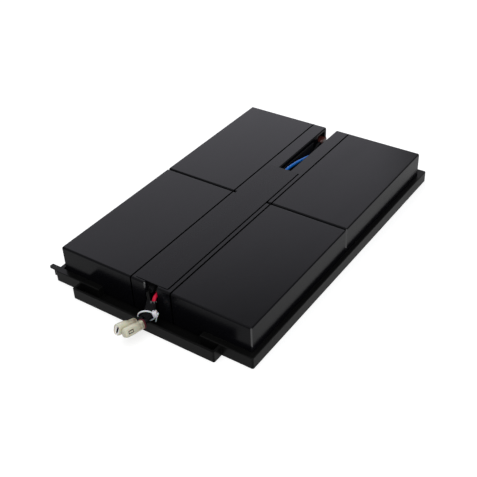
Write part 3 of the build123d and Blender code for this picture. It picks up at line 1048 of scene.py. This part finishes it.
# %% Dress the solid pieces
finishes = {
    "tray": tray_black,
    "battery_case": case_black,
    "battery_lid": lid_black,
    "vent_cover": vent_black,
    "mounting_tape": tape_foam,
    "terminal": tin,
    "receptacle": tin,
    "boot": boot_black,
    "boot_positive": boot_red,
    "channel_cover": cover_black,
    "jumper_left": insulation_black,
    "jumper_right": insulation_black,
}
dressed = 0
for name, piece in nodes.items():
    starts = [start for start in finishes if name.startswith(start)]
    if starts:
        dressed += 1
        for slot in piece.material_slots:
            slot.material = finishes[max(starts, key=len)]
print("solid pieces dressed:", dressed)

# %% Dress the wires
red_wire.data.materials.append(insulation_red)
black_wire.data.materials.append(insulation_black)
blue_wire.data.materials.append(insulation_blue)
print("wires dressed: 3")

# %% [markdown]
# ## Floor, lights and world
# The cartridge stands on a white sweep. More lamps could whiten it, but they would grey the blacks too.
# So the floor is pale and gives off a little light of its own, for the camera and for mirrors only, and
# stays white to its far edge while it still shows the soft shadow under the tray. Three soft lights do
# the rest: one behind and to the left, which the black tops mirror, a wide one overhead, and a small one
# at the front right, for the sides.


# %% Which rays show the background
def shown_rays(tree):
    """1 for a ray from the camera, and for one that a mirror or glass sends on; 0 for the rest."""
    path = add(tree, "ShaderNodeLightPath")
    mirrored = add_math(tree, "MAXIMUM")
    passed = add_math(tree, "MAXIMUM")
    join(path, "Is Camera Ray", mirrored, 0)
    join(path, "Is Glossy Ray", mirrored, 1)
    join(mirrored, "Value", passed, 0)
    join(path, "Is Transmission Ray", passed, 1)
    return passed


# %% White of the floor
# Far from the cartridge the lamps fade, so the floor's own glow grows there from 1 to 1.5.
floor_white, floor_tree, floor_shader = start_material("floor_white")
fill(floor_shader, Base_Color=(0.55, 0.55, 0.55, 1), Roughness=0.9)
fill(floor_shader, Specular_IOR_Level=0.0, Emission_Strength=0.68)
floor_place = add(floor_tree, "ShaderNodeTexCoord")
floor_distance = add_math(floor_tree, "LENGTH", "ShaderNodeVectorMath")
floor_fade = add(floor_tree, "ShaderNodeMapRange", From_Min=0.9, From_Max=2.2)
floor_far = add_mix(floor_tree, A=(1, 1, 1), B=(1.5, 1.5, 1.5))
floor_glow = add_mix(floor_tree, A=(0, 0, 0))
join(floor_place, "Object", floor_distance, 0)
join(floor_distance, "Value", floor_fade, "Value")
join(floor_fade, "Result", floor_far, "Factor")
join(floor_far, "Result", floor_glow, "B")
join(shown_rays(floor_tree), "Value", floor_glow, "Factor")
join(floor_glow, "Result", floor_shader, "Emission Color")

# %% Floor
floor_half = 6.0
floor_shape = bmesh.new()
bmesh.ops.create_grid(floor_shape, x_segments=1, y_segments=1, size=floor_half)
floor_mesh = bpy.data.meshes.new("floor")
floor_shape.to_mesh(floor_mesh)
floor_shape.free()
floor_mesh.materials.append(floor_white)
floor = bpy.data.objects.new("floor", floor_mesh)
scene.collection.objects.link(floor)
print("floor of", 2 * floor_half, "m")


# %% Lights
def soft_light(name, place, target, width, height, power, colour=(1, 1, 1)):
    """A rectangular light at a place, turned to its target, with its power in watts."""
    data = bpy.data.lights.new(name, "AREA")
    data.shape = "RECTANGLE"
    data.size = width
    data.size_y = height
    data.energy = power
    data.color = colour
    light = bpy.data.objects.new(name, data)
    light.location = place
    aim = Vector(target) - Vector(place)
    light.rotation_euler = aim.to_track_quat("-Z", "Y").to_euler()
    scene.collection.objects.link(light)
    print("light:", name, power, "W")


soft_light(
    "light_back", place=(-1.384, 1.337, 1.067), target=(0, 0, 0), width=1.9, height=1.1,
    power=16, colour=(0.9, 0.88, 1.0),
)
soft_light("light_top", place=(0.0, -0.3, 1.8), target=(0, 0, 0), width=2.4, height=2.4, power=20)
soft_light("light_front", place=(1.3, -1.1, 0.8), target=(0, -0.15, 0), width=0.9, height=0.9, power=10)

# %% World
# The camera and mirrors see plain white, and the cartridge gets a weak and slightly cool light.
world = bpy.data.worlds.new("studio")
world.use_nodes = True
scene.world = world
world_tree = world.node_tree
world_seen = fill(world_tree.nodes["Background"], Color=(1, 1, 1, 1), Strength=1.0)
world_light = add(world_tree, "ShaderNodeBackground", Color=(0.95, 0.97, 1.0, 1), Strength=0.25)
world_mix = add(world_tree, "ShaderNodeMixShader")
join(shown_rays(world_tree), "Value", world_mix, "Fac")
join(world_light, "Background", world_mix, 1)
join(world_seen, "Background", world_mix, 2)
join(world_mix, "Shader", world_tree.nodes["World Output"], "Surface")
scene.view_settings.view_transform = "Standard"
print("world:", world.name)
